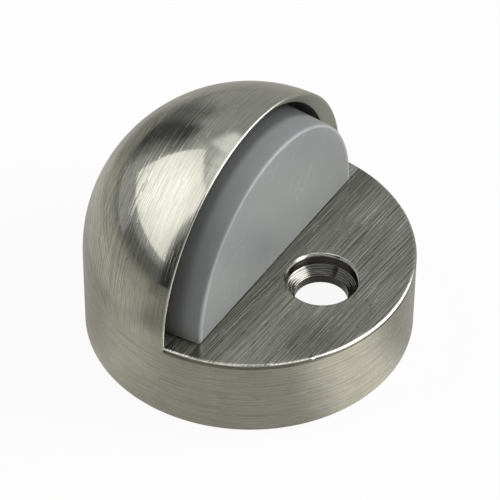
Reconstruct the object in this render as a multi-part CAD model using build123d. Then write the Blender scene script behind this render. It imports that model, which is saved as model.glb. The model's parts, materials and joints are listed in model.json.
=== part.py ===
from build123d import *
import os
from math import radians, sqrt, tan

# Dome door stop for a floor: a cast body, half a ball over a round base, cut away in front
# down to a flat ledge with a countersunk screw hole, and a D-shaped rubber bumper in its mouth.
# Millimetres. Z is up, the base stands on Z = 0 about the origin, and the door comes from -Y.

# Cast body: outside
BASE_DIAMETER = 45.0
LEDGE_HEIGHT = 12.1
MOUTH_Y = -0.7
FOOT_CHAMFER = 0.3
LEDGE_EDGE_RADIUS = 0.5

# Cast body: lip of the dome and the pocket behind it
LIP_WALL = 1.7
LIP_EDGE_RADIUS = 0.2
LIP_LAND = 0.05
LIP_BEVEL_DEPTH = 1.2

# Cast body: walls left by the core that comes in from below
BASE_WALL = 2.2
LEDGE_THICKNESS = 4.2
WEB_THICKNESS = 2.4
CORE_CORNER_CHAMFER = 1.2

# Screw hole in the ledge
HOLE_EDGE_DISTANCE = 11.2
HEAD_RECESS_DIAMETER = 9.5
HEAD_RECESS_DEPTH = 1.65
COUNTERSINK_ANGLE = 90.0
SCREW_HOLE_DIAMETER = 7.2
HOLE_MOUTH_CHAMFER = 0.3
HOLE_EXIT_CHAMFER = 0.15

# Rubber bumper
BUMPER_PROJECTION = 3.6
BUMPER_THICKNESS = 8.8
BUMPER_CLEARANCE = 0.9
BUMPER_TAPER = 0.6
BUMPER_FRONT_ROUND = 0.8
BUMPER_BACK_CHAMFER = 1.6
BUMPER_FOOT_CHAMFER = 0.25

# Worked out from the sizes above
base_radius = BASE_DIAMETER / 2
pocket_radius = base_radius - LIP_WALL
core_radius = base_radius - BASE_WALL
ledge_underside = LEDGE_HEIGHT - LEDGE_THICKNESS
bevel_back_y = MOUTH_Y + LIP_BEVEL_DEPTH
bumper_front_y = MOUTH_Y - BUMPER_PROJECTION
bumper_back_y = bumper_front_y + BUMPER_THICKNESS
bumper_back_radius = pocket_radius - BUMPER_CLEARANCE
bumper_face_radius = bumper_back_radius - BUMPER_TAPER
web_back_y = bumper_back_y + WEB_THICKNESS
hole_y = HOLE_EDGE_DISTANCE - base_radius


def half_chord(radius, offset):
    """Half the width of a circle of this radius, this far from its centre."""
    return sqrt(radius**2 - offset**2)


def disc_slice(radius, low, high):
    """The slice of a disc between two values of Y."""
    return Circle(radius) & Pos(0, (low + high) / 2) * Rectangle(2 * radius, high - low)


def half_slice(radius, low, high):
    """The half of that slice on the +X side, ready to be turned round the Y axis."""
    return disc_slice(radius, low, high) & Pos(radius / 2, 0) * Rectangle(radius, 2 * radius)


def corner_near(section, point):
    """The corner of a section that lies nearest to a point."""
    return section.vertices().sort_by_distance((*point, 0))[0]


def round_corner(section, point, radius):
    """Round the corner of a section that lies nearest to a point."""
    return fillet(corner_near(section, point), radius)


def half_turn(section):
    """Turn a section, with X as its radius, half round the Y axis, over the ledge."""
    return Pos(0, 0, LEDGE_HEIGHT) * revolve(section, Axis.Y, -180)


def round_base():
    """The full disc under the ledge, with its rounded ledge edge and chamfered foot."""
    disc = Cylinder(base_radius, LEDGE_HEIGHT, align=(Align.CENTER, Align.CENTER, Align.MIN))
    disc = fillet(disc.edges().sort_by(Axis.Z)[-1], LEDGE_EDGE_RADIUS)
    return chamfer(disc.edges().sort_by(Axis.Z)[0], FOOT_CHAMFER)


def upright_edge():
    """Squares the ledge's rounded edge where the dome's wall stands on it."""
    behind_mouth = disc_slice(base_radius, MOUTH_Y, base_radius)
    return Pos(0, 0, LEDGE_HEIGHT) * extrude(behind_mouth, -LEDGE_EDGE_RADIUS)


def pocket_section():
    """Half the bumper's pocket: a bevelled mouth, then a wall that follows the ball."""
    mouth_radius = half_chord(base_radius, MOUTH_Y) - LIP_EDGE_RADIUS - LIP_LAND
    throat_radius = half_chord(pocket_radius, bevel_back_y)
    bevel = Polygon(
        (0, MOUTH_Y),
        (mouth_radius, MOUTH_Y),
        (throat_radius, bevel_back_y),
        (0, bevel_back_y),
        align=None,
    )
    return bevel + half_slice(pocket_radius, bevel_back_y, bumper_back_y)


def dome():
    """The half ball over the base, from the mouth back, with the bumper's pocket in it."""
    section = half_slice(base_radius, MOUTH_Y, base_radius)
    section = round_corner(section, (base_radius, MOUTH_Y), LIP_EDGE_RADIUS)
    return half_turn(section - pocket_section())


def base_core():
    """The hollow under the ledge, open to the floor, with cast corners."""
    core = Cylinder(core_radius, ledge_underside, align=(Align.CENTER, Align.CENTER, Align.MIN))
    return chamfer(core.edges().sort_by(Axis.Z)[-1], CORE_CORNER_CHAMFER)


def dome_core():
    """The hollow behind the pocket's back web, open into the hollow under the ledge."""
    section = half_slice(core_radius, web_back_y, core_radius)
    section = chamfer(corner_near(section, (core_radius, web_back_y)), CORE_CORNER_CHAMFER)
    full_section = section + mirror(section, Plane.YZ)
    depth = LEDGE_THICKNESS + CORE_CORNER_CHAMFER
    shaft = Pos(0, 0, LEDGE_HEIGHT) * extrude(full_section, -depth)
    return half_turn(section) + shaft


def screw_hole():
    """A straight recess for the screw's head, a countersink and a clear hole through."""
    recess = HEAD_RECESS_DIAMETER / 2
    bore = SCREW_HOLE_DIAMETER / 2
    sink_depth = (recess - bore) / tan(radians(COUNTERSINK_ANGLE / 2))
    sink_end = -HEAD_RECESS_DEPTH - sink_depth
    section = Polygon(
        (recess + HOLE_MOUTH_CHAMFER, 0),
        (recess, -HOLE_MOUTH_CHAMFER),
        (recess, -HEAD_RECESS_DEPTH),
        (bore, sink_end),
        (bore, HOLE_EXIT_CHAMFER - LEDGE_THICKNESS),
        (bore + HOLE_EXIT_CHAMFER, -LEDGE_THICKNESS),
        (bore + HOLE_EXIT_CHAMFER, -LEDGE_HEIGHT),
        (0, -LEDGE_HEIGHT),
        (0, 0),
        align=None,
    )
    tool = revolve(Plane.XZ * section, Axis.Z)
    return Pos(0, hole_y, LEDGE_HEIGHT) * tool


def cast_body():
    body = round_base() + upright_edge() + dome()
    return body - base_core() - dome_core() - screw_hole()


def rubber_bumper():
    """A solid rubber D on the ledge, its back against the web, chamfered to enter the pocket."""
    face_corner = (bumper_face_radius, bumper_front_y)
    back_corner = (bumper_back_radius, bumper_back_y)
    section = Polygon(
        (0, bumper_front_y), face_corner, back_corner, (0, bumper_back_y), align=None
    )
    section = round_corner(section, face_corner, BUMPER_FRONT_ROUND)
    section = chamfer(corner_near(section, back_corner), BUMPER_BACK_CHAMFER)
    pad = half_turn(section)
    foot = pad.faces().sort_by(Axis.Z)[0]
    return chamfer(foot.edges(), BUMPER_FOOT_CHAMFER)


PARTS = {
    "cast_body": cast_body(),
    "rubber_bumper": rubber_bumper(),
}

os.makedirs("parts", exist_ok=True)
for name, solid in PARTS.items():
    export_step(solid, f"parts/{name}.step")
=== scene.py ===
"""Dome door stop: the looks of a satin nickel floor stop with a grey rubber bumper.

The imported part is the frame. The casting keeps its own mesh and gets its plated finish here,
the bumper is modelled again as a moulded pad, and a small photo studio stands round both.
Shapes are worked out in millimetres, with Z up from the floor and the door on the -Y side,
and are written to the meshes in metres.
"""

import json

import bpy
import numpy as np
from mathutils import Matrix, Vector


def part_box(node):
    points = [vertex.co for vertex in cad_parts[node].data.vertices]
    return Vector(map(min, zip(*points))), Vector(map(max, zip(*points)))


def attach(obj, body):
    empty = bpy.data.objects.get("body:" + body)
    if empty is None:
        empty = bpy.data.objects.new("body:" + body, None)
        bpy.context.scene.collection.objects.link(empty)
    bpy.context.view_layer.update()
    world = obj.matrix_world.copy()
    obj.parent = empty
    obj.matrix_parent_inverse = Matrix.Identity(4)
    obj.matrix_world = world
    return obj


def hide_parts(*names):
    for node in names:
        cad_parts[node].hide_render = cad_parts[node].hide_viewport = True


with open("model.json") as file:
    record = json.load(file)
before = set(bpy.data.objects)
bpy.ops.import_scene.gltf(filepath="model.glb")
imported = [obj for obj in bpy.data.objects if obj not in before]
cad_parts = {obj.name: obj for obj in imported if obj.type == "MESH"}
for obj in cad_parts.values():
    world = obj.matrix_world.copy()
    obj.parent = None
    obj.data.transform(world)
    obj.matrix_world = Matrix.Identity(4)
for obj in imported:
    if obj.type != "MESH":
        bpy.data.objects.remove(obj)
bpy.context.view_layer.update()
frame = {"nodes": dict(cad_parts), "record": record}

bl_info = {
    "name": "Dome Door Stop",
    "version": (1, 0, 0),
    "blender": (4, 5, 0),
    "location": "View3D > Sidebar > Door Stop",
    "description": "Finishes a dome door stop: satin nickel casting, rubber bumper and studio",
    "category": "Object",
}

MM = 0.001

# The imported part, in millimetres, then forms that the record leaves out: the dome's mouth and
# how deep its bevel goes, the ledge, and how far the screw hole's chamfer reaches
pad_low, pad_high = (np.array(corner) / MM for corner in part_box("rubber_bumper"))
mounts = {mount["name"]: mount for mount in frame["record"]["mounts"]}
BALL_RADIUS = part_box("cast_body")[1][0] / MM
LEDGE_Z = pad_low[2]
HOLE_Y = mounts["screw_hole"]["pos_m"][1] / MM
PAD_FRONT_Y = pad_low[1]
PAD_BACK_Y = pad_high[1]
PAD_RADIUS = pad_high[2] - LEDGE_Z
MOUTH_Y = -0.7
BEVEL_DEPTH = 1.25
LEDGE_THICKNESS = 4.2
HOLE_REACH = 5.08

# Borders of the casting's finishes. Where a pair is given, the finish begins at the first value
# and is full at the second: by the distance from the middle for the brushed outside, and by Z
# for the round wall and the ledge. The last is beyond any point.
JUST_OVER_LEDGE = LEDGE_Z + 0.04
JUST_BEHIND_MOUTH = MOUTH_Y + 0.05
OUTSIDE_REACH = (BALL_RADIUS - 0.35, BALL_RADIUS - 0.2)
WALL_REACH = (LEDGE_Z + 0.8, LEDGE_Z - 0.6)
LEDGE_REACH = (LEDGE_Z - 0.42, LEDGE_Z - 0.1)
FAR_AWAY = 1000.0

# Bumper mesh: points on its front round, side, foot, each corner of the foot and the big arc,
# rings on its front face, of which the back has every fourth, how much they crowd to the edge,
# the pole's height and the width in which the swell sets in as shares of the radius, and the
# steps of the slope at the back
ROUND_POINTS = 14
SIDE_POINTS = 34
FOOT_POINTS = 60
CORNER_POINTS = 9
ARC_POINTS = 201
FACE_RINGS = 26
BACK_RINGS_SKIP = 4
RING_CROWDING = 1.4
POLE_HEIGHT = 0.42
SWELL_FADE = 0.25
SLOPE_STEPS = np.array([0.02, 0.06, 0.15, 0.4, 0.65, 0.82, 0.9, 0.95, 0.98, 1])

# Waves of the bumper's front face: radians per millimetre and phase across, then upwards
SWELL_WAVES = ((0.31, 0.8, 0.37, 0.3), (0.12, -0.4, 0.21, np.pi / 2))

# Brush lines of the casting. Real ones lie down to 0.05 mm apart, too fine to show, so these
# are 0.14 to 0.2 mm apart and 5 to 19 mm long. Waves per millimetre across them, then along.
GROOVES_PER_MM = 5.0
GROOVE_RUN = 0.13
HAIRLINES_PER_MM = 7.0
HAIRLINE_RUN = 0.2

# Second pass on the ledge: its angle in radians, its waves along the lines as a share of the
# first pass's, and its share of the whole. Slanting pass at the back of the dome: its angle,
# where it begins and is full, as Y plus the fall times Z, and its share at both.
SECOND_ANGLE = 0.06
SECOND_RUN = 0.4
SECOND_SHARE = 0.6
SLANT_ANGLE = np.pi / 4
SLANT_FALL = -0.5
SLANT_REACH = (-6.0, 8.0)
SLANT_SHARE = (0.1, 0.85)

# Depth of the grooves, in line depths, and contrast of the hairlines. The dome's contrast goes
# from the mouth back and the ledge's from the bumper forward, each between two values of Y.
DOME_GROOVES = 0.4
LEDGE_GROOVES = 0.35
RIM_GROOVES = 0.05
DOME_STRETCH = (3.0, 12.0)
DOME_CONTRAST = (0.38, 1.25)
LEDGE_STRETCH = (-8.0, -17.0)
LEDGE_CONTRAST = (2.0, 1.6)
WALL_CONTRAST = 0.45
RIM_CONTRAST = 0.2

# Roughness of the cast skin, and what hairlines above a level and worn edges add
SKIN_ROUGHNESS = 0.5
SCRATCH_LEVEL = (0.6, 1.0)
SCRATCH_ROUGHNESS = 0.2
WORN_ROUGHNESS = 0.12
BRUSHED_ANISOTROPY = 0.5

# Most values of a noise lie in this range
NOISE_RANGE = (0.3, 0.7)

# Cast skin and clouds in the plate: waves per millimetre, height in line depths, and tone
SKIN_GRAIN = (2.2, 2.2, 2.2)
SKIN_HEIGHT = 6.0
CLOUDS = (0.12, 0.12, 0.12)
CLOUD_TONE = (0.93, 1.07)

# Wear of the ledge's edge, from its left to its right: values of X, the share of the wear on
# the left, and the painted highlight on the rim, bright on the left, near the plate's tone on
# the right
WEAR_STRETCH = (1.0, 9.0)
LEAST_WEAR = 0.25
RIM_HIGHLIGHT = (2.0, 0.95)

# Worn edges: the turn of the surface, as a cosine, where wear begins and is full, its added
# tone, and the size and tone of the nicks, whose power makes them rare
WORN_TURN = (0.99, 0.9)
WORN_TONE = 0.25
NICK_SIZE = 0.35
NICK_POWER = 5.0
NICK_TONE = 0.7

# How far the surface is evened round the pole at the back of the ball
POLE_REACH = 1.6

# Painted shade on the ledge by Y, darkest at the bumper and fading forward, painted light past
# its face to the sides, then one darker spot
FORWARD_STRETCH = (PAD_FRONT_Y - 1, PAD_FRONT_Y - 6)
FORWARD_SHADE = (0.52, 0.78)
BESIDE_STRETCH = (PAD_FRONT_Y - 0.5, PAD_FRONT_Y + 0.5)
BESIDE_LIGHT = 1.1
DARK_SPOT = (-11.0, -15.5, LEDGE_Z)
DARK_SPOT_REACH = (1.0, 6.5)
DARK_SPOT_TONE = 0.7

# A burr on the ledge's edge, and the painted shade of a dark line under that edge
BURR = (-13.4, -17.8, LEDGE_Z - 0.15)
BURR_REACH = (0.45, 0.1)
BURR_HEIGHT = 30.0
UNDER_RIM_Z = LEDGE_Z - 0.42
UNDER_RIM_REACH = (0.3, 0.12)
UNDER_RIM_STRETCH = (7.0, 1.0)
UNDER_RIM_SHADE = 0.5

# The dome's lip: where the painted highlight along its edge begins and is full, the highlight's
# added tone on the left and on the right, and the painted light on the bevel behind it
LIP_REACH = (MOUTH_Y + 0.28, MOUTH_Y + 0.12)
LIP_STRETCH = (0.0, 9.0)
LIP_HIGHLIGHT = (0.5, 0.1)
BEVEL_LIGHT = 1.2

# Turning rings of the screw hole, moved by a slow noise, then the painted light and shade of
# its
# stretches from the bore up to the mouth: where each starts, measured from the ledge, and its
# painted tone on the left and the right
RING_PITCH = 0.22
RING_DRIFT = (0.3, 0.3, 2.0)
RING_SHIFT = 0.5
RING_CONTRAST = 0.45
RING_TONE = 0.92
HOLE_SIDES = (0.5, 3.5)
HOLE_LIGHT_AND_SHADE = (
    (-LEDGE_THICKNESS, 0.6, 0.25),
    (-2.82, 1.0, 1.2),
    (-1.65, 1.6, 0.25),
    (-0.32, 0.35, 3.4),
)

# Rubber: waves per millimetre of its bloom, grain, scuffs and swirls, each with its tones, its
# depth or the values of the noise at which it shows, then the marks' added tone and height
BLOOM = (0.16, 0.16, 0.16)
BLOOM_TONE = (0.95, 1.05)
RUBBER_GRAIN = (5.0, 5.0, 5.0)
GRAIN_DEPTH = 0.01
SCUFFS = (0.12, 0.4, 2.6)
SCUFF_TILT = (0.0, 0.9, 0.0)
SCUFF_LEVEL = (0.64, 0.74)
SWIRLS = (0.11, 0.11, 0.11)
SWIRL_STEP = 0.045
SWIRL_WIDTH = (0.005, 0.001)
SWIRL_LEVEL = (0.5, 0.6)
SWIRL_SHARE = 0.6
MARK_TONE = 0.3
MARK_HEIGHT = 0.5
RUBBER_ROUGHNESS = (0.38, 0.45)
RUBBER_IOR = 1.52

# The bumper's front edge, rubbed smooth and given a painted highlight, wider low down, and the
# painted shade where it enters the dome
FRONT_REACH = (PAD_FRONT_Y + 0.26, PAD_FRONT_Y + 0.14)
WIDE_STRETCH = (LEDGE_Z + 14, LEDGE_Z + 5)
WIDE_EDGE = 0.4
EDGE_HIGHLIGHT = 0.4
EDGE_ROUGHNESS = -0.12
EDGE_SPREAD = (-0.02, 0.08)
POCKET_SHADE_START = MOUTH_Y + 0.2
POCKET_SHADE_TONE = 0.42
POCKET_SHADE_WIDTH = 2.6
POCKET_SHADE_LEAN = 0.09

# Camera: angles in degrees and lengths in millimetres
CAMERA_AZIMUTH = -58.347
CAMERA_ELEVATION = 43.270
CAMERA_ROLL = 0.4954
CAMERA_DISTANCE = 416.3
CAMERA_TARGET = (0.013, -0.021, 11.70)
CAMERA_LENS = 222.42

# Studio: lengths in millimetres and steps in degrees; a radiance of 1 is white
FLOOR_RADII = (0, 12, 18, 22, 24, 27, 30, 34, 38, 42, 47, 52, 60, 75, 100, 150, 400, 1500)
FLOOR_GLOW = 0.92
FLOOR_GREY = 0.40
FLOOR_STEP = 3.0
FLOOR_DROP = 0.02
TENT_RADIUS = 1400
TENT_GREY = 0.5
TENT_STEP = 2.0
TENT_ROWS = 60
TENT_FOOT = -4
SOFTBOX_DISTANCE = 900
SOFTBOX_POINTS = 25
SOFTBOX_REACH = 1.25

# Softboxes: the setting of their strength, the azimuth and elevation of their bottom left,
# bottom right, top right and top left corners, the share of the strength at their edge, and
# the power by which they fall off towards it
SOFTBOXES = {
    "main_softbox": ("softbox", ((178, 14), (240, 14), (229, 60), (163.5, 53)), 0.72, 1.6),
    "front_fill": ("fill", ((-4, 5), (66, 5), (66, 58), (-4, 58)), 0.6, 2.0),
    "top_light": ("top", ((320, 62), (50, 62), (140, 62), (230, 62)), 1.0, 2.0),
}

# Panels of the tent: radiance, middle azimuth and elevation, half width and height, soft edge
TENT_PANELS = (
    (0.43, 120, 20, 16, 40, 8),
    (0.47, 143, 34, 14, 20, 10),
    (0.21, 145, 6, 10, 22, 12),
    (0.24, 160, 14, 9, 24, 8),
    (0.09, 155, 12, 7, 24, 8),
    (0.50, 186, 4, 16, 8, 6),
    (0.20, 222, 3, 20, 7, 6),
    (1.10, 0, 90, 180, 28, 9),
    (0.72, 166, 53, 7, 8, 6),
    (1.25, 144, 61, 12, 10, 7),
    (0.05, 255, 32, 14, 44, 4),
    (0.07, 241, 66, 26, 9, 6),
    (0.22, 304, 20, 44, 40, 10),
)

# Light and shade on the floor as mirror rays see it: radiance, middle azimuth, half width and
# soft edge in degrees, then the distances where the patch starts and ends
FLOOR_PANELS = (
    (0.56, 201, 42, 30, 42, 3000),
    (0.62, 243, 12, 30, 1, 40),
    (0.95, 349.5, 18, 26, 1, 200),
    (0.45, 200, 60, 30, 85, 3000),
    (0.26, 200, 70, 30, 200, 3000),
    (0.12, 247, 8, 8, 140, 3000),
    (0.25, 153, 12, 12, 95, 3000),
    (0.26, 259, 14, 12, 44, 3000),
    (0.55, 0, 200, 10, 0.5, 20),
)
PATCH_EDGE = 0.4
FLOOR_TINT = (1.03, 1.0, 0.93)
TENT_TINT = (0.97, 1.0, 1.02)
WHITE = (1.0, 1.0, 1.0)

# Settings that many properties or nodes share
COLOUR = {"subtype": "COLOR", "size": 3, "min": 0, "max": 1}
LENGTH = {"subtype": "DISTANCE", "unit": "LENGTH", "precision": 6}
SHARE = {"subtype": "FACTOR", "min": 0, "max": 1}
TIMES = {"operation": "MULTIPLY"}
TIMES_PLUS = {"operation": "MULTIPLY_ADD"}
SOFT = {"interpolation_type": "SMOOTHSTEP"}


def linear(hex_colour):
    """The linear colour of an sRGB hex value such as "#8A8A8A"."""
    srgb = np.array([int(hex_colour[i : i + 2], 16) for i in (1, 3, 5)]) / 255
    return tuple(np.where(srgb <= 0.04045, srgb / 12.92, ((srgb + 0.055) / 1.055) ** 2.4))


def add(tree, kind, inputs=(), **settings):
    """Add a shader node of a kind, with its settings, then fill its inputs.

    The inputs are a tuple, for the first ones in order, or a dict by name or number. Each takes
    a value, a socket, or another node, whose first live output is linked.
    """
    node = tree.nodes.new("ShaderNode" + kind)
    for key, value in settings.items():
        setattr(node, key, value)
    for key, value in inputs.items() if isinstance(inputs, dict) else enumerate(inputs):
        if isinstance(value, bpy.types.Node):
            value = next(output for output in value.outputs if output.enabled)
        if isinstance(value, bpy.types.NodeSocket):
            tree.links.new(value, node.inputs[key])
        else:
            node.inputs[key].default_value = value
    return node


# Sizes and colours that a user would change


class CastingFinish(bpy.types.PropertyGroup):
    """Plating and brushing of the cast body."""

    plate_colour: bpy.props.FloatVectorProperty(
        name="Nickel",
        description="Colour of the satin nickel plate",
        **COLOUR,
        default=linear("#B9B8AC"),
    )
    core_colour: bpy.props.FloatVectorProperty(
        name="Cast inside",
        description="Colour of the plate on the unbrushed cast skin inside",
        **COLOUR,
        default=linear("#8C8D88"),
    )
    hole_colour: bpy.props.FloatVectorProperty(
        name="Screw hole",
        description="Colour of the thin plate on the turned screw hole",
        **COLOUR,
        default=linear("#8E8C86"),
    )
    lip_wear: bpy.props.FloatProperty(
        name="Lip wear",
        description="Radius to which the edges of the dome's lip are rubbed down",
        **LENGTH,
        min=0,
        max=1 * MM,
        default=0.06 * MM,
    )
    ledge_wear: bpy.props.FloatProperty(
        name="Ledge wear",
        description="Radius to which the edges of the ledge and its hole are rubbed down",
        **LENGTH,
        min=0,
        max=1 * MM,
        default=0.4 * MM,
    )
    line_depth: bpy.props.FloatProperty(
        name="Line depth",
        description="Depth of the brush lines",
        **LENGTH,
        min=0,
        default=0.005 * MM,
    )
    dome_roughness: bpy.props.FloatProperty(
        name="Dome roughness",
        description="Roughness of the finely brushed dome",
        **SHARE,
        default=0.075,
    )
    ledge_roughness: bpy.props.FloatProperty(
        name="Ledge roughness",
        description="Roughness of the straight-brushed ledge",
        **SHARE,
        default=0.2,
    )
    wall_roughness: bpy.props.FloatProperty(
        name="Wall roughness",
        description="Roughness of the coarsely brushed round wall",
        **SHARE,
        default=0.27,
    )
    hole_roughness: bpy.props.FloatProperty(
        name="Screw hole roughness",
        description="Roughness of the turned screw hole",
        **SHARE,
        default=0.13,
    )


class BumperSizes(bpy.types.PropertyGroup):
    """Moulded shape and colour of the bumper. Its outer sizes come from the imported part."""

    front_round: bpy.props.FloatProperty(
        name="Front round",
        description="Radius of the rounded edge round the front face",
        **LENGTH,
        min=0.1 * MM,
        max=3 * MM,
        default=0.55 * MM,
    )
    taper: bpy.props.FloatProperty(
        name="Taper",
        description="How much smaller the radius is at the front than at the back",
        **LENGTH,
        min=0,
        max=2 * MM,
        default=0.6 * MM,
    )
    back_chamfer: bpy.props.FloatProperty(
        name="Back chamfer",
        description="Width of the slope at the back edge, inside the pocket",
        **LENGTH,
        min=0.1 * MM,
        max=4 * MM,
        default=1.6 * MM,
    )
    foot_round: bpy.props.FloatProperty(
        name="Foot round",
        description="Radius of the edges round the foot that stands on the ledge",
        **LENGTH,
        min=0.05 * MM,
        max=1 * MM,
        default=0.28 * MM,
    )
    swell: bpy.props.FloatProperty(
        name="Swell",
        description="How far the moulded front face waves inwards",
        **LENGTH,
        min=0,
        max=0.2 * MM,
        default=0.03 * MM,
    )
    colour: bpy.props.FloatVectorProperty(
        name="Rubber",
        description="Colour of the moulded rubber",
        **COLOUR,
        default=linear("#8D9090"),
    )


class StudioSettings(bpy.types.PropertyGroup):
    """Light and floor of the studio."""

    softbox_strength: bpy.props.FloatProperty(
        name="Softbox",
        description="Radiance of the main softbox behind the stop, where 1 is white",
        min=0,
        default=1.9,
    )
    fill_strength: bpy.props.FloatProperty(
        name="Front fill",
        description="Radiance of the softbox in front on the right, where 1 is white",
        min=0,
        default=3.6,
    )
    top_strength: bpy.props.FloatProperty(
        name="Top light",
        description="Radiance of the light overhead, where 1 is white",
        min=0,
        default=1.1,
    )
    sky_strength: bpy.props.FloatProperty(
        name="Room light",
        description="Even light from all round that falls on matt surfaces",
        min=0,
        default=0.12,
    )
    floor_colour: bpy.props.FloatVectorProperty(
        name="Floor",
        description="Colour of the plain paper floor",
        **COLOUR,
        default=linear("#F4F4F3"),
    )


# Meshes


def grid_faces(rows, columns, closed):
    """Quads between the points of a grid whose rows are runs of vertices.

    Quad (i, j) joins row i to row i + 1 and column j to column j + 1; with closed, the last
    column joins the first.
    """
    i = np.arange(rows - 1)[:, None]
    j = np.arange(columns if closed else columns - 1)[None, :]
    after = (j + 1) % columns
    row, next_row = i * columns, (i + 1) * columns
    corners = (row + j, row + after, next_row + after, next_row + j)
    return np.stack(np.broadcast_arrays(*corners), axis=-1).reshape(-1, 4)


def new_piece(name, points, faces, material):
    """A smooth-shaded object at the origin, from points in millimetres and lists of faces."""
    mesh = bpy.data.meshes.new(name)
    mesh.from_pydata((points * MM).tolist(), [], faces)
    mesh.polygons.foreach_set("use_smooth", np.ones(len(mesh.polygons), bool))
    mesh.materials.append(material)
    mesh.validate()
    mesh.update()
    piece = bpy.data.objects.new(name, mesh)
    bpy.context.scene.collection.objects.link(piece)
    return piece


def bumper_stations(sizes):
    """The bumper's profile from front to back: depth behind the front face, radius and foot.

    The radius follows a quarter round of the front radius whose centre keeps that distance
    from the tapered side, then the straight taper, then the straight slope of the back
    chamfer. The foot's height follows a quarter round at the front and the same at the back.
    """
    depth = PAD_BACK_Y - PAD_FRONT_Y
    values = (sizes.front_round, sizes.taper, sizes.back_chamfer, sizes.foot_round)
    front_round, taper, slope, foot_round = (value / MM for value in values)
    lean = np.arctan2(taper, depth)
    slope_start = depth - slope * np.cos(lean)
    front = PAD_RADIUS - taper * slope_start / depth
    centre = front - front_round * (np.cos(lean) + np.sin(lean) * np.tan(lean) - np.tan(lean))
    turn = np.linspace(0, np.pi / 2 - lean, ROUND_POINTS)
    round_depth = front_round * (1 - np.cos(turn))
    round_radius = centre + front_round * np.sin(turn)
    side_depth = np.linspace(round_depth[-1], slope_start, SIDE_POINTS)[1:]
    along = (side_depth - round_depth[-1]) / (slope_start - round_depth[-1])
    side_radius = round_radius[-1] + (PAD_RADIUS - round_radius[-1]) * along
    last_radius = PAD_RADIUS + taper * (1 - slope_start / depth) - slope
    slope_depth = slope_start + (depth - slope_start) * SLOPE_STEPS
    slope_radii = PAD_RADIUS + (last_radius - PAD_RADIUS) * SLOPE_STEPS
    depths = np.concatenate([round_depth, side_depth, slope_depth])
    radii = np.concatenate([round_radius, side_radius, slope_radii])
    near = np.minimum(np.minimum(depths, depth - depths), foot_round)
    foot = foot_round - np.sqrt(foot_round**2 - (foot_round - near) ** 2)
    return depths, radii, foot


def bumper_outline(radii, foot, corner):
    """Closed D outlines, one for each radius and foot height, as arrays of x and z.

    Each is a flat foot, a small round of the corner radius that touches both the foot and the
    big arc from inside, the big arc about the centre of the ledge line, and the other round.
    """
    radii, foot = radii[:, None], foot[:, None]
    reach = np.sqrt((radii - corner) ** 2 - (foot + corner) ** 2)
    meet = np.arctan2(foot + corner, reach)
    flat = np.linspace(-1, 1, FOOT_POINTS)[None, :-1]
    small = np.linspace(0, 1, CORNER_POINTS)[None, :-1]
    large = np.linspace(0, 1, ARC_POINTS)[None, :-1]
    rising = -np.pi / 2 + (meet + np.pi / 2) * small
    falling = meet - (meet + np.pi / 2) * small
    arc = meet + (np.pi - 2 * meet) * large
    x = (
        reach * flat,
        reach + corner * np.cos(rising),
        radii * np.cos(arc),
        -reach - corner * np.cos(falling),
    )
    z = (
        foot + 0 * flat,
        foot + corner + corner * np.sin(rising),
        radii * np.sin(arc),
        foot + corner + corner * np.sin(falling),
    )
    return np.concatenate(x, axis=1), np.concatenate(z, axis=1)


def bumper_surface(sizes):
    """Points and faces of the moulded bumper: D outlines carried along its depth.

    The front and back faces run from their first outline in to one pole, each ring being the
    outline shrunk towards the pole. The front face then gives way inwards by a low wave, a sum
    of two sine products that fades out at its edge.
    """
    depths, radii, foot = bumper_stations(sizes)
    x, z = bumper_outline(radii, foot, sizes.foot_round / MM)
    y = np.broadcast_to(depths[:, None], x.shape)
    pole_z = POLE_HEIGHT * radii[0]
    shrink = (1 - np.linspace(0, 1, FACE_RINGS)[1:-1] ** RING_CROWDING)[:, None]
    widen, narrow = shrink[::-1], shrink[::BACK_RINGS_SKIP]
    front_x, front_z = x[0] * widen, pole_z + (z[0] - pole_z) * widen
    back_x, back_z = x[-1] * narrow, pole_z + (z[-1] - pole_z) * narrow
    edge_fade = np.clip((1 - widen) / SWELL_FADE, 0, 1)
    wave = 0.5 + 0.25 * sum(
        np.sin(a * front_x + b) * np.sin(c * front_z + d) for a, b, c, d in SWELL_WAVES
    )
    front_y = sizes.swell / MM * edge_fade * wave
    rings_x = np.concatenate([front_x, x, back_x])
    rings_y = np.concatenate([front_y, y, np.full(back_x.shape, depths[-1])])
    rings_z = np.concatenate([front_z, z, back_z])
    rows, columns = rings_x.shape
    ring_points = np.stack([rings_x, PAD_FRONT_Y + rings_y, LEDGE_Z + rings_z], axis=-1)
    poles = [
        [0, PAD_FRONT_Y + front_y[0].mean(), LEDGE_Z + pole_z],
        [0, PAD_FRONT_Y + depths[-1], LEDGE_Z + pole_z],
    ]
    points = np.concatenate([ring_points.reshape(-1, 3), poles])
    j = np.arange(columns)
    after = (j + 1) % columns
    last = (rows - 1) * columns
    front_fan = np.stack([np.full(columns, rows * columns), j, after], axis=-1)
    back_fan = np.stack([np.full(columns, rows * columns + 1), last + after, last + j], axis=-1)
    sides = grid_faces(rows, columns, closed=True)[:, ::-1]
    return points, sides.tolist() + front_fan.tolist() + back_fan.tolist()


# Materials


def new_material(name):
    """An empty node material and its tree."""
    material = bpy.data.materials.new(name)
    material.use_nodes = True
    material.node_tree.nodes.clear()
    return material, material.node_tree


def object_millimetres(tree):
    """The Object coordinates of a material, in millimetres."""
    place = add(tree, "TexCoord").outputs["Object"]
    return add(tree, "VectorMath", {0: place, "Scale": 1 / MM}, operation="SCALE")


def streaks(tree, place, per_mm, detail=2.0):
    """Noise drawn out into lines: per_mm holds how many waves a millimetre has each way."""
    drawn = add(tree, "VectorMath", (place, per_mm), **TIMES)
    noise = {"Vector": drawn, "Scale": 1.0, "Detail": detail, "Roughness": 0.6}
    return add(tree, "TexNoise", noise)


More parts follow.
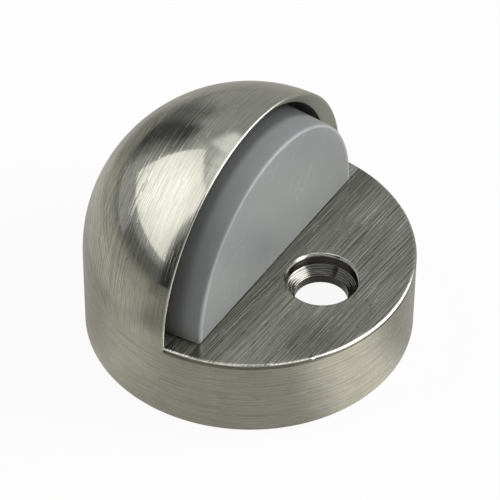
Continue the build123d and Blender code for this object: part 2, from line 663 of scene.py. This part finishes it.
def finish_masks(tree, place, y, z):
    """Where each finish of the casting lies: its brushed outside, wall, ledge and screw hole.

    What lies in front of the mouth, and the way outwards on the dome and wall, are given too.

    The outside is what lies near the ball's radius from the middle of the ledge line, or from
    the upright axis below it. The ledge is the level strip in front of the dome's mouth, and
    the hole is what lies within the reach of its chamfer, from the ledge down to the hollow.
    """
    outwards = add(tree, "VectorMath", (place, (0, 0, -LEDGE_Z)), operation="ADD")
    not_below = (-FAR_AWAY, -FAR_AWAY, 0)
    outwards = add(tree, "VectorMath", (outwards, not_below), operation="MAXIMUM")
    reach = add(tree, "VectorMath", (outwards,), operation="LENGTH")
    outside = add(tree, "MapRange", (reach, *OUTSIDE_REACH), **SOFT)
    low = add(tree, "MapRange", (z, *WALL_REACH), **SOFT)
    level = add(tree, "MapRange", (z, *LEDGE_REACH), **SOFT)
    under_dome = add(tree, "Math", (z, JUST_OVER_LEDGE), operation="LESS_THAN")
    in_front = add(tree, "Math", (y, JUST_BEHIND_MOUTH), operation="LESS_THAN")
    ledge = add(tree, "Math", (level, under_dome), **TIMES)
    ledge = add(tree, "Math", (ledge, in_front), **TIMES)
    wall = add(tree, "Math", (low, outside), **TIMES)
    wall = add(tree, "Math", (wall, ledge), operation="SUBTRACT", use_clamp=True)

    off_axis = (place, (1, 1, 0), (0, -HOLE_Y, 0))
    off_axis = add(tree, "VectorMath", off_axis, **TIMES_PLUS)
    off_axis = add(tree, "VectorMath", (off_axis,), operation="LENGTH")
    within = add(tree, "Math", (off_axis, HOLE_REACH), operation="LESS_THAN")
    over_hollow = (z, LEDGE_Z - LEDGE_THICKNESS)
    over_hollow = add(tree, "Math", over_hollow, operation="GREATER_THAN")
    hole = add(tree, "Math", (within, over_hollow), **TIMES)
    return outside, wall, ledge, hole, in_front, outwards


def hairlines(tree, place, across, along):
    """Crisp scratches as values round 0.5, in cells thin across the lines and long along them.

    across and along hold how many cells a millimetre has each way. Each row of cells is moved
    along by a random share of a cell, so that the scratches end in different places. A cell's
    value is its own random value less that of its neighbour across, so broad bands stay even.
    """
    row = add(tree, "VectorMath", (place, across), **TIMES)
    row = add(tree, "VectorMath", (row,), operation="FLOOR")
    moved = add(tree, "TexWhiteNoise", {"Vector": row})
    run = add(tree, "VectorMath", (place, along, moved), **TIMES_PLUS)
    run = add(tree, "VectorMath", (run,), operation="FLOOR")
    cell = add(tree, "VectorMath", (row, run), operation="ADD")
    beside = add(tree, "VectorMath", (cell, np.sign(across)), operation="ADD")
    own = add(tree, "TexWhiteNoise", {"Vector": cell})
    other = add(tree, "TexWhiteNoise", {"Vector": beside})
    own = add(tree, "Math", (own, 0.5, 0.5), **TIMES_PLUS)
    return add(tree, "Math", (other, -0.5, own), **TIMES_PLUS)


def grooves(tree, place, across, along):
    """Soft grooves: noise round 0.5, with as many waves a millimetre as hairlines has cells."""
    return streaks(tree, place, np.add(across, along))


def brush_lines(tree, place, y, z, wall, ledge):
    """Brush lines: soft grooves, as noise round 0.5, and crisp hairlines, as values of 0 to 1.

    On the wall they run level round it. On the dome and the ledge they run parallel to the
    dome's mouth, and the ledge has a second pass of longer lines a few degrees off. Low down
    at the back of the dome a pass turned by 45 degrees about X lies over them.
    """
    turned = {"Vector": place, "Angle": SLANT_ANGLE}
    turned = add(tree, "VectorRotate", turned, rotation_type="X_AXIS")
    swung = {"Vector": place, "Angle": SECOND_ANGLE}
    swung = add(tree, "VectorRotate", swung, rotation_type="Z_AXIS")
    backward = add(tree, "Math", (z, SLANT_FALL, y), **TIMES_PLUS)
    slanted = add(tree, "MapRange", (backward, *SLANT_REACH, *SLANT_SHARE), **SOFT)
    sets = []
    for pattern, per_mm, run in (
        (grooves, GROOVES_PER_MM, GROOVE_RUN),
        (hairlines, HAIRLINES_PER_MM, HAIRLINE_RUN),
    ):
        across, along = (0, per_mm, 0), (run, 0, run)
        straight = pattern(tree, place, across, along)
        second = pattern(tree, swung, across, (SECOND_RUN * run, 0, SECOND_RUN * run))
        crossed = add(tree, "Mix", {0: SECOND_SHARE, 2: straight, 3: second})
        straight = add(tree, "Mix", {0: ledge, 2: straight, 3: crossed})
        slanting = pattern(tree, turned, across, along)
        level = pattern(tree, place, (0, 0, per_mm), (run, run, 0))
        dome = add(tree, "Mix", {0: slanted, 2: straight, 3: slanting})
        sets.append(add(tree, "Mix", {0: wall, 2: dome, 3: level}))
    return sets


def turning_rings(tree, place, z):
    """The tool marks down the screw hole: a sine of the height, a little unsteady."""
    unsteady = (streaks(tree, place, RING_DRIFT), RING_SHIFT, z)
    unsteady = add(tree, "Math", unsteady, **TIMES_PLUS)
    phase = add(tree, "Math", (unsteady, 2 * np.pi / RING_PITCH), **TIMES)
    return add(tree, "Math", (phase,), operation="SINE")


def worn_edges(tree, place, x, in_front, finish):
    """Edges rounded a little: the surface's direction, how worn it is, and the wear's tone.

    The ledge's edges are worn most on its right. Nicks along all edges are cells of a random
    value, raised to a power.
    """
    ledge_wear = (x, *WEAR_STRETCH, finish.ledge_wear * LEAST_WEAR, finish.ledge_wear)
    ledge_wear = add(tree, "MapRange", ledge_wear)
    wear = add(tree, "Mix", {0: in_front, 2: finish.lip_wear, 3: ledge_wear})
    rounded = add(tree, "Bevel", {"Radius": wear}, samples=4)
    normal = add(tree, "NewGeometry").outputs["Normal"]
    facing = add(tree, "VectorMath", (rounded, normal), operation="DOT_PRODUCT")
    worn = add(tree, "MapRange", (facing, *WORN_TURN))
    nicks = add(tree, "VectorMath", {0: place, "Scale": 1 / NICK_SIZE}, operation="SCALE")
    nicks = add(tree, "VectorMath", (nicks,), operation="FLOOR")
    nicks = add(tree, "TexWhiteNoise", {"Vector": nicks})
    nicks = add(tree, "Math", (nicks, 2.0, -1.0), **TIMES_PLUS)
    nicks = add(tree, "Math", (nicks, NICK_POWER), operation="POWER")
    return rounded, worn, add(tree, "Math", (nicks, NICK_TONE, WORN_TONE), **TIMES_PLUS)


def line_contrast(tree, y, brushed, wall, ledge, rim):
    """Contrast of the hairlines on each finish: strongest on the ledge, none on the skin."""
    dome_contrast = add(tree, "MapRange", (y, *DOME_STRETCH, *DOME_CONTRAST))
    ledge_contrast = add(tree, "MapRange", (y, *LEDGE_STRETCH, *LEDGE_CONTRAST))
    contrast = add(tree, "Mix", {0: brushed, 2: 0.0, 3: dome_contrast})
    for mask, value in ((wall, WALL_CONTRAST), (ledge, ledge_contrast), (rim, RIM_CONTRAST)):
        contrast = add(tree, "Mix", {0: mask, 2: contrast, 3: value})
    return contrast


def ledge_light_and_shade(tree, place, x, y, rim):
    """Painted light and shade on the ledge: painted shade near the bumper, painted light beside
    it, and a darker spot.

    Its rim has a painted highlight, bright on the left and near the plate's own tone on the
    right.
    """
    # Painted shade near the bumper, fading forward, and painted light beside it
    forward = (y, *FORWARD_STRETCH, *FORWARD_SHADE)
    forward = add(tree, "MapRange", forward, **SOFT)
    beside = add(tree, "MapRange", (y, *BESIDE_STRETCH, 0, BESIDE_LIGHT), **SOFT)
    tone = add(tree, "Math", (forward, beside), operation="MAXIMUM")
    dull = add(tree, "VectorMath", (place, DARK_SPOT), operation="DISTANCE")
    dull = add(tree, "MapRange", (dull, *DARK_SPOT_REACH, DARK_SPOT_TONE), **SOFT)
    tone = add(tree, "Math", (tone, dull), **TIMES)
    # Painted highlight on the rim, bright on the left
    rim_highlight = add(tree, "MapRange", (x, *WEAR_STRETCH, *RIM_HIGHLIGHT))
    return add(tree, "Mix", {0: rim, 2: tone, 3: rim_highlight})


def painted_under_rim_shade(tree, x, z, in_front):
    """Painted shade: a dark line under the ledge's edge, on its left."""
    line = add(tree, "Math", (z, UNDER_RIM_Z), operation="SUBTRACT")
    line = add(tree, "Math", (line,), operation="ABSOLUTE")
    line = add(tree, "MapRange", (line, *UNDER_RIM_REACH), **SOFT)
    shade_share = (x, *UNDER_RIM_STRETCH, 0, UNDER_RIM_SHADE)
    shade_share = add(tree, "MapRange", shade_share, **SOFT)
    shade_share = add(tree, "Math", (shade_share, in_front), **TIMES)
    line = add(tree, "Math", (line, shade_share), **TIMES)
    return add(tree, "Math", (1.0, line), operation="SUBTRACT")


def hole_rings_and_painted_light(tree, x, z, rings):
    """Tone of the screw hole: its turning rings, and painted light and shade in its stretches
    from the bore up, each from left to right.
    """
    tone = 1.0
    # Painted light and shade, stretch by stretch
    for start, left, right in HOLE_LIGHT_AND_SHADE:
        side = add(tree, "MapRange", (x, *HOLE_SIDES, left, right), **SOFT)
        higher = add(tree, "Math", (z, LEDGE_Z + start), operation="GREATER_THAN")
        tone = add(tree, "Mix", {0: higher, 2: tone, 3: side})
    ring_tone = add(tree, "Math", (rings, RING_CONTRAST, RING_TONE), **TIMES_PLUS)
    return add(tree, "Math", (ring_tone, tone), **TIMES)


def satin_nickel_plate(finish):
    """Satin nickel: a zinc die casting, belt-brushed and then plated with nickel.

    The brush lines draw reflections out across them, worn edges catch the light, the screw
    hole is darker with turning rings, and the hollows keep the dull skin of the casting.
    Painted shade lies on the ledge near the bumper and in a dark line under its edge, and
    painted light and highlights lie on the ledge's rim, the lip's edge, the bevel behind it and
    the stretches of the screw hole. The eye sees a warm grey metal, glossy on the dome and
    softer on the wall and the ledge.
    """
    material, tree = new_material("satin_nickel_plate")
    place = object_millimetres(tree)
    x, y, z = add(tree, "SeparateXYZ", {"Vector": place}).outputs
    outside, wall, ledge, hole, in_front, outwards = finish_masks(tree, place, y, z)
    brushed = add(tree, "Math", (outside, ledge), operation="MAXIMUM")
    rim = add(tree, "Math", (outside, ledge), **TIMES)
    groove, hairline = brush_lines(tree, place, y, z, wall, ledge)
    rounded, worn, worn_tone = worn_edges(tree, place, x, in_front, finish)

    # An even surface where the ball's mesh closes at the back
    outwards = add(tree, "VectorMath", (outwards,), operation="NORMALIZE")
    back_pole = (0, BALL_RADIUS, LEDGE_Z)
    pole = add(tree, "VectorMath", (place, back_pole), operation="DISTANCE")
    pole = add(tree, "Math", (pole, POLE_REACH), operation="LESS_THAN")
    smooth = add(tree, "Mix", {0: pole, 4: rounded, 5: outwards}, data_type="VECTOR")

    # Relief, in units of the line depth
    shallow = add(tree, "Mix", {0: ledge, 2: DOME_GROOVES, 3: LEDGE_GROOVES})
    shallow = add(tree, "Mix", {0: rim, 2: shallow, 3: RIM_GROOVES})
    line_height = add(tree, "Math", (groove, shallow), **TIMES)
    skin_height = (streaks(tree, place, SKIN_GRAIN, detail=3.0), SKIN_HEIGHT)
    skin_height = add(tree, "Math", skin_height, **TIMES)
    rings = turning_rings(tree, place, z)
    height = add(tree, "Mix", {0: brushed, 2: skin_height, 3: line_height})
    height = add(tree, "Mix", {0: hole, 2: height, 3: rings})
    burr = add(tree, "VectorMath", (place, BURR), operation="DISTANCE")
    burr = add(tree, "MapRange", (burr, *BURR_REACH, 0, BURR_HEIGHT), **SOFT)
    height = add(tree, "Math", (height, burr), operation="ADD")
    relief = {"Height": height, "Distance": finish.line_depth, "Normal": smooth}
    relief = add(tree, "Bump", relief)

    # Roughness: fine on the dome, coarser on the wall and the ledge, dull inside
    rough = {0: wall, 2: finish.dome_roughness, 3: finish.wall_roughness}
    rough = add(tree, "Mix", rough)
    rough = add(tree, "Mix", {0: ledge, 2: rough, 3: finish.ledge_roughness})
    rough = add(tree, "Mix", {0: brushed, 2: SKIN_ROUGHNESS, 3: rough})
    rough = add(tree, "Mix", {0: hole, 2: rough, 3: finish.hole_roughness})
    scratched = (hairline, *SCRATCH_LEVEL, 0, SCRATCH_ROUGHNESS)
    scratched = add(tree, "MapRange", scratched)
    lined = add(tree, "Math", (brushed, rim), operation="SUBTRACT")
    rough = add(tree, "Math", (scratched, lined, rough), **TIMES_PLUS)
    rough = add(tree, "Math", (worn, WORN_ROUGHNESS, rough), **TIMES_PLUS)

    # Tone: hairlines over slow clouds in the plate, then painted shade and light on the ledge
    # with a painted highlight on its rim, the painted shade of a dark line under its edge, the
    # painted highlight on the lip's edge, painted light on the bevel behind it, painted light
    # and shade in the hole, and the worn edges
    contrast = line_contrast(tree, y, brushed, wall, ledge, rim)
    centred = add(tree, "Math", (hairline, 0.5), operation="SUBTRACT")
    line_tone = add(tree, "Math", (centred, contrast, 1.0), **TIMES_PLUS)
    clouds = (streaks(tree, place, CLOUDS), *NOISE_RANGE, *CLOUD_TONE)
    clouds = add(tree, "MapRange", clouds)
    tone = add(tree, "Mix", {0: ledge, 2: 1.0, 3: ledge_light_and_shade(tree, place, x, y, rim)})
    for share in (line_tone, clouds, painted_under_rim_shade(tree, x, z, in_front)):
        tone = add(tree, "Math", (tone, share), **TIMES)
    over_ledge = add(tree, "Math", (z, JUST_OVER_LEDGE), operation="GREATER_THAN")
    # Painted highlight along the lip's edge, strongest on the left
    lip = add(tree, "MapRange", (y, *LIP_REACH), **SOFT)
    lip = add(tree, "Math", (lip, over_ledge), **TIMES)
    lip_highlight = add(tree, "MapRange", (x, *LIP_STRETCH, *LIP_HIGHLIGHT))
    tone = add(tree, "Math", (lip, lip_highlight, tone), **TIMES_PLUS)
    # Painted light on the bevel behind the lip
    bevel = add(tree, "Math", (y, MOUTH_Y + BEVEL_DEPTH), operation="LESS_THAN")
    bevel = add(tree, "Math", (bevel, over_ledge), **TIMES)
    skin_and_bevel_light = add(tree, "Math", (bevel, BEVEL_LIGHT, 1.0), **TIMES_PLUS)
    tone = add(tree, "Mix", {0: brushed, 2: skin_and_bevel_light, 3: tone})
    tone = add(tree, "Mix", {0: hole, 2: tone, 3: hole_rings_and_painted_light(tree, x, z, rings)})
    tone = add(tree, "Math", (worn, worn_tone, tone), **TIMES_PLUS)

    # Colour: the plate, thin and dark in the hole, and dull on the cast skin
    colours = (finish.core_colour, finish.plate_colour, finish.hole_colour)
    skin, plate, thin = ((*colour, 1) for colour in colours)
    colour = add(tree, "Mix", {0: brushed, 6: skin, 7: plate}, data_type="RGBA")
    colour = add(tree, "Mix", {0: hole, 6: colour, 7: thin}, data_type="RGBA")
    colour = add(tree, "VectorMath", {0: colour, "Scale": tone}, operation="SCALE")

    # The roughness is drawn out across the lines
    upright = add(tree, "Math", (wall, hole), operation="MAXIMUM")
    across = {0: upright, 4: (0.0, 1.0, 0.0), 5: (0.0, 0.0, 1.0)}
    across = add(tree, "Mix", across, data_type="VECTOR")
    metal = {
        "Base Color": colour,
        "Metallic": 1.0,
        "Roughness": rough,
        "Anisotropic": BRUSHED_ANISOTROPY,
        "Tangent": across,
        "Normal": relief,
    }
    metal = add(tree, "BsdfPrincipled", metal)
    add(tree, "OutputMaterial", {"Surface": metal})
    return material


def moulded_grey_rubber(sizes):
    """Mid-grey rubber, pressed in a mould with a fine matt skin.

    The skin is even and matt, with a cloudy bloom, faint flow swirls and a few light scuffs. A
    painted highlight runs along the front edge, and painted shade darkens the pad where it
    enters the dome. The eye sees a soft grey without a sharp highlight.
    """
    material, tree = new_material("moulded_grey_rubber")
    place = object_millimetres(tree)
    _, y, z = add(tree, "SeparateXYZ", {"Vector": place}).outputs
    bloom = streaks(tree, place, BLOOM, detail=3.0)
    grain = streaks(tree, place, RUBBER_GRAIN)

    # On the front face, scuffs, and swirls along the contours of a slow noise
    front = add(tree, "MapRange", (y, *FRONT_REACH), **SOFT)
    tilted = add(tree, "Mapping", {"Vector": place, "Rotation": SCUFF_TILT})
    scuffs = (streaks(tree, tilted, SCUFFS), *SCUFF_LEVEL)
    scuffs = add(tree, "MapRange", scuffs, **SOFT)
    contour = (streaks(tree, place, SWIRLS, detail=1.0), SWIRL_STEP)
    contour = add(tree, "Math", contour, operation="PINGPONG")
    contour = add(tree, "MapRange", (contour, *SWIRL_WIDTH))
    marked = add(tree, "MapRange", (bloom, *SWIRL_LEVEL, 0, SWIRL_SHARE))
    marked = add(tree, "Math", (marked, front), **TIMES)
    swirls = add(tree, "Math", (contour, marked), **TIMES)
    scuffs = add(tree, "Math", (scuffs, front), **TIMES)
    marks = add(tree, "Math", (scuffs, swirls), operation="MAXIMUM")

    # The front edge is rubbed smooth and carries a painted highlight, and painted shade darkens
    # the pad where it enters the dome
    from_middle = (place, (1, 0, 1), (0, 0, -LEDGE_Z))
    from_middle = add(tree, "VectorMath", from_middle, **TIMES_PLUS)
    from_middle = add(tree, "VectorMath", (from_middle,), operation="LENGTH")
    widened = add(tree, "MapRange", (z, *WIDE_STRETCH, 0, WIDE_EDGE), **SOFT)
    from_edge = add(tree, "Math", (from_middle, widened), operation="ADD")
    edge_radius = PAD_RADIUS - (sizes.taper + 0.5 * sizes.front_round) / MM
    edge = (from_edge, *(edge_radius + spread for spread in EDGE_SPREAD))
    edge = add(tree, "MapRange", edge, **SOFT)
    rubbed = add(tree, "Math", (edge, front), **TIMES)
    pocket_shade_end = (z, POCKET_SHADE_LEAN, MOUTH_Y - POCKET_SHADE_WIDTH - POCKET_SHADE_LEAN * LEDGE_Z)
    pocket_shade_end = add(tree, "Math", pocket_shade_end, **TIMES_PLUS)
    pocket_shade = add(tree, "MapRange", (y, POCKET_SHADE_START, pocket_shade_end, POCKET_SHADE_TONE), **SOFT)

    cloud = add(tree, "MapRange", (bloom, *NOISE_RANGE, *BLOOM_TONE))
    tone = add(tree, "Math", (marks, MARK_TONE, cloud), **TIMES_PLUS)
    # The rubbed edge is smoother, and its tone carries a painted highlight
    tone = add(tree, "Math", (rubbed, EDGE_HIGHLIGHT, tone), **TIMES_PLUS)
    # Painted shade where the pad enters the dome
    tone = add(tree, "Math", (tone, pocket_shade), **TIMES)
    colour = {0: tuple(sizes.colour), "Scale": tone}
    colour = add(tree, "VectorMath", colour, operation="SCALE")
    matt = add(tree, "MapRange", (bloom, *NOISE_RANGE, *RUBBER_ROUGHNESS))
    matt = add(tree, "Math", (rubbed, EDGE_ROUGHNESS, matt), **TIMES_PLUS)
    height = add(tree, "Math", (marks, MARK_HEIGHT, grain), **TIMES_PLUS)
    relief = add(tree, "Bump", {"Height": height, "Distance": GRAIN_DEPTH * MM})
    rubber = {"Base Color": colour, "Roughness": matt, "IOR": RUBBER_IOR, "Normal": relief}
    rubber = add(tree, "BsdfPrincipled", rubber)
    add(tree, "OutputMaterial", {"Surface": rubber})
    return material


def ray_kinds(tree):
    """1 for rays from the camera or through glass, and 1 for mirror rays."""
    path = add(tree, "LightPath").outputs
    direct = (path["Is Camera Ray"], path["Is Transmission Ray"])
    return add(tree, "Math", direct, operation="MAXIMUM"), path["Is Glossy Ray"]


def paper_floor(studio):
    """Matt white paper, lit and shaded, that glows almost white where it is seen directly.

    Mirror rays see the light and shade of its own radiance attribute on it. From below, the
    paper is clear, so that the foot of the stop can be looked at.
    """
    material, tree = new_material("paper_floor")
    lit = add(tree, "BsdfDiffuse", {"Color": (*studio.floor_colour, 1)})
    direct, mirrored = ray_kinds(tree)
    radiance = add(tree, "Attribute", attribute_name="radiance").outputs["Vector"]
    glow = add(tree, "Mix", {0: mirrored, 4: WHITE, 5: radiance}, data_type="VECTOR")
    glow = add(tree, "Emission", {"Color": glow})
    share = add(tree, "Math", (direct, mirrored), operation="MAXIMUM")
    share = add(tree, "Math", (share, FLOOR_GLOW), **TIMES)
    paper = add(tree, "MixShader", (share, lit, glow))
    below = add(tree, "NewGeometry").outputs["Backfacing"]
    clear = add(tree, "BsdfTransparent")
    surface = add(tree, "MixShader", (below, paper, clear))
    add(tree, "OutputMaterial", {"Surface": surface})
    return material


def lamp_cloth(name, sampled):
    """Glowing cloth whose strength at each point is the mesh's own radiance attribute."""
    material, tree = new_material(name)
    radiance = add(tree, "Attribute", attribute_name="radiance")
    glow = add(tree, "Emission", {"Color": radiance})
    add(tree, "OutputMaterial", {"Surface": glow})
    material.cycles.emission_sampling = "FRONT_BACK" if sampled else "NONE"
    return material


# Studio


def direction(azimuth, elevation):
    """Unit vectors towards angles in degrees. Azimuth 0 is -Y, 90 is +X."""
    a, e = np.radians(azimuth), np.radians(elevation)
    return np.stack([np.sin(a) * np.cos(e), -np.cos(a) * np.cos(e), np.sin(e)], axis=-1)


def stage_piece(name, points, faces, radiance, tint, material):
    """A stage mesh with a tinted radiance at each of its points."""
    piece = new_piece(name, points.reshape(-1, 3), faces, material)
    colours = np.ones((radiance.size, 4))
    colours[:, :3] = radiance.reshape(-1, 1) * tint
    attribute = piece.data.color_attributes.new("radiance", "FLOAT_COLOR", "POINT")
    attribute.data.foreach_set("color", colours.ravel())
    return piece


def hide_lamp(piece):
    """The camera doesn't see a lamp, and it throws no shadow."""
    piece.visible_camera = False
    piece.visible_shadow = False


def soft_edge(distance, half, edge):
    """1 inside half a width, 0 outside, with a smooth step over the soft edge between."""
    t = np.clip((half + edge / 2 - np.abs(distance)) / edge, 0, 1)
    return t**2 * (3 - 2 * t)


def turned_away(azimuth, centre):
    """How many degrees an azimuth lies from a centre, the short way round."""
    return (azimuth - centre + 180) % 360 - 180


def make_tent():
    """A dome of studio cloth round the stop that only mirror rays see.

    Its points are a ball's, and its glow is an even grey with the panels laid over it one
    after another, each by its share.
    """
    rows = np.linspace(TENT_FOOT, 90, TENT_ROWS)
    azimuth, elevation = np.meshgrid(np.arange(0, 360, TENT_STEP), rows)
    radiance = np.full(azimuth.shape, TENT_GREY)
    for glow, centre_a, centre_e, half_a, half_e, edge in TENT_PANELS:
        share = soft_edge(turned_away(azimuth, centre_a), half_a, edge)
        share = share * soft_edge(elevation - centre_e, half_e, edge)
        radiance = radiance + (glow - radiance) * share
    points = direction(azimuth, elevation) * TENT_RADIUS
    faces = grid_faces(*azimuth.shape, closed=True)
    cloth = lamp_cloth("tent_cloth", sampled=False)
    tent = stage_piece("studio_tent", points, faces, radiance, TENT_TINT, cloth)
    hide_lamp(tent)
    tent.visible_diffuse = False
    tent.visible_transmission = False
    tent.visible_volume_scatter = False


def make_softbox(name, corners, centre, edge, falloff):
    """A softbox between four directions: bottom left, bottom right, top right and top left.

    Its points blend the four corners evenly both ways, and its glow falls from the centre's
    value to the edge's by a power of the distance from the middle.
    """
    steps = np.linspace(0, 1, SOFTBOX_POINTS)
    u, v = (grid[..., None] for grid in np.meshgrid(steps, steps))
    low_left, low_right, high_right, high_left = (direction(*c) for c in corners)
    low = low_left * (1 - u) + low_right * u
    high = high_left * (1 - u) + high_right * u
    points = (low * (1 - v) + high * v) * SOFTBOX_DISTANCE
    off_centre = np.clip(np.hypot(2 * u - 1, 2 * v - 1) / SOFTBOX_REACH, 0, 1)
    radiance = centre + (edge - centre) * off_centre**falloff
    faces = grid_faces(SOFTBOX_POINTS, SOFTBOX_POINTS, closed=False)
    cloth = lamp_cloth(name + "_cloth", sampled=True)
    hide_lamp(stage_piece(name, points, faces, radiance, WHITE, cloth))


def make_floor(studio):
    """A level disc of paper, a hair below the foot of the stop.

    Its points lie on rings, and its radiance is an even grey with the patches of light and
    shade laid over it one after another. A patch's distances are measured in doublings.
    """
    azimuth, radius = np.meshgrid(np.arange(0, 360, FLOOR_STEP), FLOOR_RADII)
    octave = np.log2(np.maximum(radius, 1))
    radiance = np.full(azimuth.shape, FLOOR_GREY)
    for glow, centre, half, edge, start, end in FLOOR_PANELS:
        share = soft_edge(turned_away(azimuth, centre), half, edge)
        middle, half_way = np.log2([start * end, end / start]) / 2
        share = share * soft_edge(octave - middle, half_way, PATCH_EDGE)
        radiance = radiance + (glow - radiance) * share
    points = direction(azimuth, 0 * azimuth) * radius[..., None]
    points[..., 2] = -FLOOR_DROP
    faces = grid_faces(*azimuth.shape, closed=True)[:, ::-1]
    stage_piece("paper_floor", points, faces, radiance, FLOOR_TINT, paper_floor(studio))


def make_world(studio):
    """White for the camera and for mirrors and glass, an even grey for all other light."""
    world = bpy.data.worlds.new("studio_room")
    bpy.context.scene.world = world
    world.use_nodes = True
    tree = world.node_tree
    tree.nodes.clear()
    seen = add(tree, "Math", ray_kinds(tree), operation="MAXIMUM")
    strength = add(tree, "Mix", {0: seen, 2: studio.sky_strength, 3: 1.0})
    room = add(tree, "Background", {"Color": (*WHITE, 1), "Strength": strength})
    add(tree, "OutputWorld", {"Surface": room})


def make_camera():
    """The camera, placed by its angles round a target point, with its small roll."""
    back = Vector(direction(CAMERA_AZIMUTH, CAMERA_ELEVATION))
    level = Vector((0, 0, 1)).cross(back).normalized()
    upward = back.cross(level)
    roll = np.radians(CAMERA_ROLL)
    right = level * np.cos(roll) + upward * np.sin(roll)
    up = upward * np.cos(roll) - level * np.sin(roll)
    place = (Vector(CAMERA_TARGET) + back * CAMERA_DISTANCE) * MM
    data = bpy.data.cameras.new("camera")
    data.sensor_width = 36
    data.lens = CAMERA_LENS
    data.clip_start = 0.05
    data.clip_end = 10
    camera = bpy.data.objects.new("camera", data)
    camera.matrix_world = Matrix(
        [[right[i], up[i], back[i], place[i]] for i in range(3)] + [[0, 0, 0, 1]]
    )
    bpy.context.scene.collection.objects.link(camera)
    bpy.context.scene.camera = camera


# Operators, panel and start


class FinishCasting(bpy.types.Operator):
    """Give the cast body its satin nickel plate"""

    bl_idname = "doorstop.finish_casting"
    bl_label = "Finish the Casting"

    def execute(self, context):
        casting = frame["nodes"]["cast_body"]
        casting.material_slots[0].material = satin_nickel_plate(context.scene.casting_finish)
        return {"FINISHED"}


class MakeBumper(bpy.types.Operator):
    """Model the moulded rubber bumper"""

    bl_idname = "doorstop.make_bumper"
    bl_label = "Make the Bumper"

    def execute(self, context):
        sizes = context.scene.bumper_sizes
        points, faces = bumper_surface(sizes)
        bumper = new_piece("moulded_bumper", points, faces, moulded_grey_rubber(sizes))
        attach(bumper, "root")
        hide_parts("rubber_bumper")
        return {"FINISHED"}


class MakeStudio(bpy.types.Operator):
    """Set up the floor, lights, background and camera"""

    bl_idname = "doorstop.make_studio"
    bl_label = "Make the Studio"

    def execute(self, context):
        studio = context.scene.studio_settings
        make_floor(studio)
        make_tent()
        for name, (setting, corners, edge_share, falloff) in SOFTBOXES.items():
            strength = getattr(studio, setting + "_strength")
            make_softbox(name, corners, strength, strength * edge_share, falloff)
        make_world(studio)
        make_camera()
        context.scene.view_settings.view_transform = "Standard"
        return {"FINISHED"}


class DoorStopPanel(bpy.types.Panel):
    """Lists the steps that dress the door stop"""

    bl_idname = "VIEW3D_PT_door_stop"
    bl_label = "Dome Door Stop"
    bl_space_type = "VIEW_3D"
    bl_region_type = "UI"
    bl_category = "Door Stop"

    def draw(self, context):
        scene = context.scene
        for operator, settings in (
            (FinishCasting, scene.casting_finish),
            (MakeBumper, scene.bumper_sizes),
            (MakeStudio, scene.studio_settings),
        ):
            box = self.layout.box()
            for name in settings.__annotations__:
                box.prop(settings, name)
            box.operator(operator.bl_idname)


CLASSES = (
    CastingFinish,
    BumperSizes,
    StudioSettings,
    FinishCasting,
    MakeBumper,
    MakeStudio,
    DoorStopPanel,
)


def register():
    for cls in CLASSES:
        bpy.utils.register_class(cls)
    bpy.types.Scene.casting_finish = bpy.props.PointerProperty(type=CastingFinish)
    bpy.types.Scene.bumper_sizes = bpy.props.PointerProperty(type=BumperSizes)
    bpy.types.Scene.studio_settings = bpy.props.PointerProperty(type=StudioSettings)


def unregister():
    del bpy.types.Scene.studio_settings
    del bpy.types.Scene.bumper_sizes
    del bpy.types.Scene.casting_finish
    for cls in reversed(CLASSES):
        bpy.utils.unregister_class(cls)


def main():
    register()
    bpy.ops.doorstop.finish_casting()
    bpy.ops.doorstop.make_bumper()
    bpy.ops.doorstop.make_studio()


if __name__ == "__main__":
    main()
